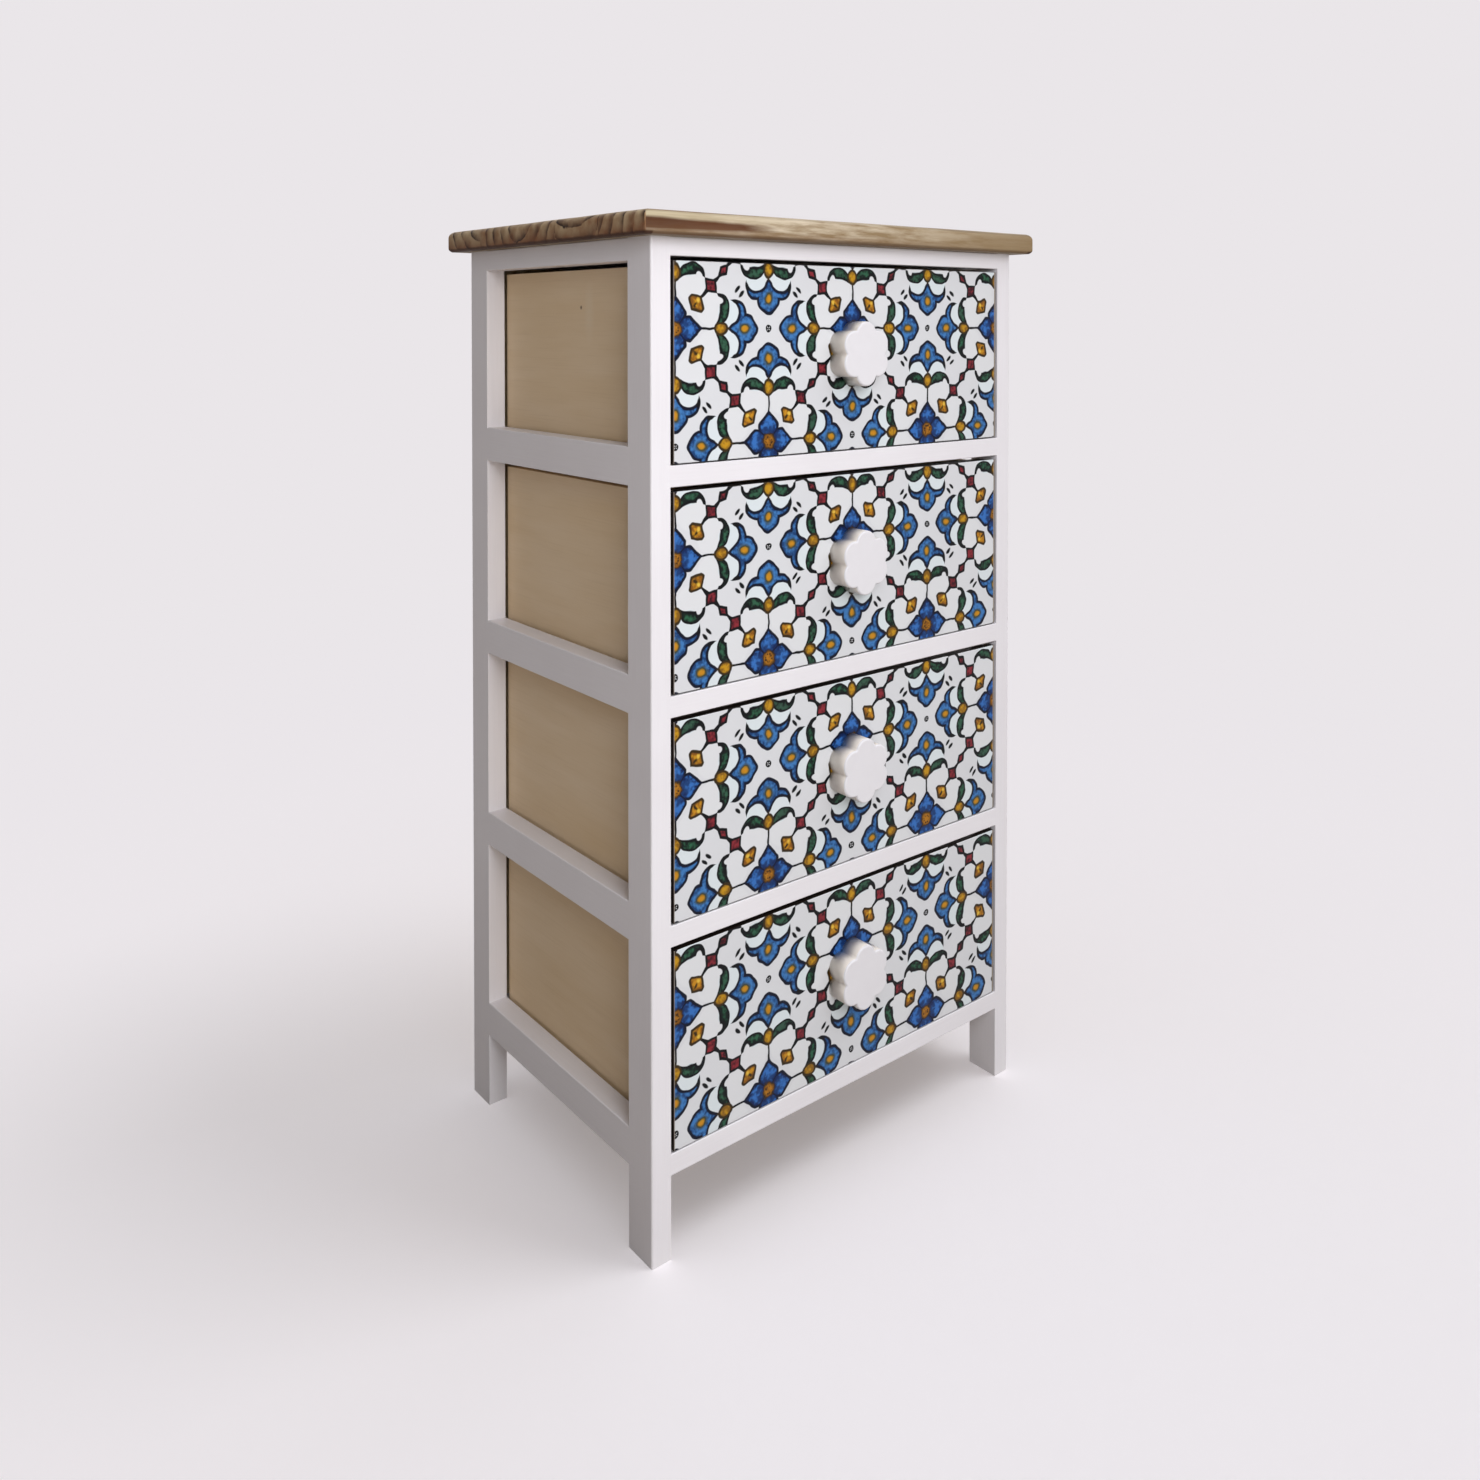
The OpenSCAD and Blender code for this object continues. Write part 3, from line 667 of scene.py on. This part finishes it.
def paintedKnob(name):
    material, tree, shader, place = newFinish(name)
    cloud = grainNoise(tree, place, knobPaint["cloud"], 3.0)
    normal = addNode(tree, "ShaderNodeTexCoord", out="Normal")
    facing = Amount(tree, addNode(tree, "ShaderNodeSeparateXYZ", {0: normal}).node.outputs[1])
    # the sides, which face away from the front, take the rim colour as painted light
    colour = coats(tree, knobPaint["white"], (cloud * 0.5, knobPaint["shadow"]),
                   ((facing + 0.35).share(3.0), knobPaint["rim"]))
    shader.inputs["Specular IOR Level"].default_value = knobPaint["gloss"]
    setFinish(tree, shader, colour, cloud * 0.1 + knobPaint["rough"], cloud, knobPaint["depth"])
    return material


finishes = {
    "paintUpright": whitePaint("satinPaintUpright", "z"),
    "paintAcross": whitePaint("satinPaintAcross", "x"),
    "paintDeep": whitePaint("satinPaintDeep", "y"),
    "board": oiledPine("oiledPine"),
    "side": planedPoplar("planedPoplar", "y"),
    "topSide": planedPoplar("planedPoplarKnotted", "y", poplar["topSideMarks"]),
    "back": planedPoplar("planedPoplarAcross", "x"),
    "bottom": birchPlywood("birchPlywood", "x"),
    "panel": birchPlywood("birchPlywoodUpright", "z"),
    "peg": turnedBeech("turnedBeech"),
    "metal": zincSteel("zincSteel"),
    "knob": paintedKnob("paintedKnob"),
}
print("finishes made")


# the first row whose words fit a node's name gives its finish

dressing = (("*_post", "paintUpright"), ("front_*rail*", "paintAcross"), ("back_*rail*", "paintAcross"),
            ("*rail*", "paintDeep"), ("drawer_1_left_side", "topSide"), ("*_side", "side"),
            ("*runners", "side"), ("back_panel", "panel"), ("drawer_*_back", "back"),
            ("*_bottom", "bottom"), ("*_front", "back"), ("*_knob", "knob"),
            ("frame_dowels", "peg"), ("top_board", "board"), ("*", "metal"))


def dressNodes():
    for name, piece in cadNodes.items():
        finish = next(finish for words, finish in dressing if fnmatch(name, words))
        piece.data.materials.clear()
        piece.data.materials.append(finishes[finish])
    print("frame dressed")


dressNodes()


def finishPiece(bm, name, body, node, finish):
    bmesh.ops.recalc_face_normals(bm, faces=bm.faces)
    for face in bm.faces:
        face.smooth = True
    mesh = bpy.data.meshes.new(name)
    bm.to_mesh(mesh)
    bm.free()
    mesh.materials.append(finish)
    piece = bpy.data.objects.new(name, mesh)
    scene.collection.objects.link(piece)
    evened = piece.modifiers.new("evenedNormals", "WEIGHTED_NORMAL")
    evened.weight = 100  # the large faces stay flat
    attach(piece, body)
    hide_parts(node)
    return piece


def bevelEdges(bm, edges, offset, segments):
    bmesh.ops.bevel(bm, geom=edges, offset=offset, offset_type="OFFSET", segments=segments, profile=0.5,
                    affect="EDGES", material=-1, clamp_overlap=True)


# top board: long edges rounded by hand, a little worn away unevenly

board = dict(upperRound=5.0 * mm, upperSteps=5, lowerRound=3.0 * mm, lowerSteps=4, corner=1.3 * mm,
             cornerSteps=2, cell=10 * mm, worn=0.35 * mm, wornEvery=38 * mm, flatUnder=0.4 * mm)


def isLevel(edge):
    return abs(edge.verts[0].co.z - edge.verts[1].co.z) < 0.005 * mm


def makeBoard():
    low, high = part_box("top_board")
    bm = bmesh.new()
    bmesh.ops.create_cube(bm, size=1.0)
    bmesh.ops.scale(bm, vec=high - low, verts=bm.verts)
    bmesh.ops.translate(bm, vec=(low + high) / 2, verts=bm.verts)
    middle = (low.z + high.z) / 2
    for above, way in ((True, "upper"), (False, "lower")):
        rim = [e for e in bm.edges if all((v.co.z > middle) == above for v in e.verts)
               and isLevel(e) and e.calc_face_angle(0.0) > 1.0]
        bevelEdges(bm, rim, board[way + "Round"], board[way + "Steps"])
    corners = [e for e in bm.edges if not isLevel(e) and e.calc_face_angle(0.0) > 0.6]
    bevelEdges(bm, corners, board["corner"], board["cornerSteps"])
    for axis in (0, 1):
        cuts = round((high[axis] - low[axis]) / board["cell"])
        for k in range(1, cuts):
            point, normal = [0.0, 0.0, 0.0], [0.0, 0.0, 0.0]
            point[axis], normal[axis] = low[axis] + k * (high[axis] - low[axis]) / cuts, 1.0
            bmesh.ops.bisect_plane(bm, geom=bm.verts[:] + bm.edges[:] + bm.faces[:], plane_co=point,
                                   plane_no=normal)
    bm.normal_update()
    for vert in bm.verts:
        if vert.co.z > low.z + board["flatUnder"]:  # the underside stays flat on the frame
            depth = 0.5 + 0.5 * noise.noise(vert.co / board["wornEvery"])
            vert.co -= vert.normal * depth * board["worn"]
    return finishPiece(bm, "roundedBoard", "frame", "top_board", finishes["board"])


makeBoard()
print("board made")


# drawer fronts: a board with eased edges and a thicker middle that the drawer's sides are fixed to

frontBoard = dict(lip=6.0 * mm, sideBoard=8.35 * mm, eased=0.6 * mm, easedSteps=3)


def makeFront(number):
    node = "drawer_%d_front" % number
    low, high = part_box(node)
    bm = bmesh.new()
    bmesh.ops.create_cube(bm, size=1.0)
    bmesh.ops.scale(bm, vec=(high.x - low.x, frontBoard["lip"], high.z - low.z), verts=bm.verts)
    bmesh.ops.translate(bm, vec=(0, low.y + frontBoard["lip"] / 2, (low.z + high.z) / 2), verts=bm.verts)
    rim = [e for e in bm.edges if any(v.co.y < low.y + frontBoard["lip"] / 2 for v in e.verts)]
    bevelEdges(bm, rim, frontBoard["eased"], frontBoard["easedSteps"])
    for side in (-1, 1):
        bmesh.ops.bisect_plane(bm, geom=bm.verts[:] + bm.edges[:] + bm.faces[:], plane_no=(1, 0, 0),
                               plane_co=(side * (high.x - frontBoard["sideBoard"]), 0, 0))
    bm.normal_update()
    onBack = [f for f in bm.faces if f.normal.y > 0.9]
    middle = [min(onBack, key=lambda f: abs(f.calc_center_median().x))]
    grown = bmesh.ops.extrude_face_region(bm, geom=middle)["geom"]
    bmesh.ops.translate(bm, vec=(0, high.y - low.y - frontBoard["lip"], 0),
                        verts=[g for g in grown if isinstance(g, bmesh.types.BMVert)])
    bmesh.ops.delete(bm, geom=[f for f in middle if f.is_valid], context="FACES")
    finishPiece(bm, "tiledFront%d" % number, "drawer_%d" % number, node,
                tileOrnament("tileOrnament%d" % number, node))


for number in drawerNumbers:
    makeFront(number)
print("drawer fronts made")


# knobs: six petals about a round middle, cut from one block and rounded over its face

knobShape = dict(petals=6, petalWidth=21.0 * mm, petalAt=14.0 * mm, petalSteps=14, edge=1.5 * mm,
                 edgeSteps=5, weld=0.02 * mm)


def makeKnob(number):
    node = "drawer_%d_knob" % number
    low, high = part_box(node)
    middle = Vector(((low.x + high.x) / 2, high.y, (low.z + high.z) / 2))
    r, at = knobShape["petalWidth"] / 2, knobShape["petalAt"]
    turn = 2 * math.pi / knobShape["petals"]
    notch = at * math.cos(turn / 2) + math.sqrt(r ** 2 - (at * math.sin(turn / 2)) ** 2)
    sweep = math.atan2(notch * math.sin(turn / 2), notch * math.cos(turn / 2) - at)
    bm = bmesh.new()
    start = Matrix.Rotation(-sweep, 3, "Y") @ Vector((r, 0, 0)) + Vector((at, 0, 0))
    arc = bmesh.ops.create_vert(bm, co=start)["vert"]
    bmesh.ops.spin(bm, geom=arc, cent=(at, 0, 0), axis=(0, 1, 0), angle=2 * sweep,
                   steps=knobShape["petalSteps"], dvec=(0, 0, 0))
    bmesh.ops.rotate(bm, cent=(0, 0, 0), matrix=Matrix.Rotation(turn / 2, 3, "Y"), verts=bm.verts)
    others = knobShape["petals"] - 1
    bmesh.ops.spin(bm, geom=bm.verts[:] + bm.edges[:], cent=(0, 0, 0), axis=(0, 1, 0),
                   angle=turn * others, steps=others, use_duplicate=True)
    bmesh.ops.remove_doubles(bm, verts=bm.verts, dist=knobShape["weld"])
    back = bmesh.ops.contextual_create(bm, geom=bm.edges)["faces"]
    grown = bmesh.ops.extrude_face_region(bm, geom=back)["geom"]
    front = [g for g in grown if isinstance(g, bmesh.types.BMVert)]
    bmesh.ops.translate(bm, vec=(0, low.y - high.y, 0), verts=front)
    bmesh.ops.translate(bm, vec=middle, verts=bm.verts)
    rim = [e for e in bm.edges if all(v.co.y < (low.y + high.y) / 2 for v in e.verts)]
    bevelEdges(bm, rim, knobShape["edge"], knobShape["edgeSteps"])
    finishPiece(bm, "petalKnob%d" % number, "drawer_%d" % number, node, finishes["knob"])


for number in drawerNumbers:
    makeKnob(number)
print("knobs made")
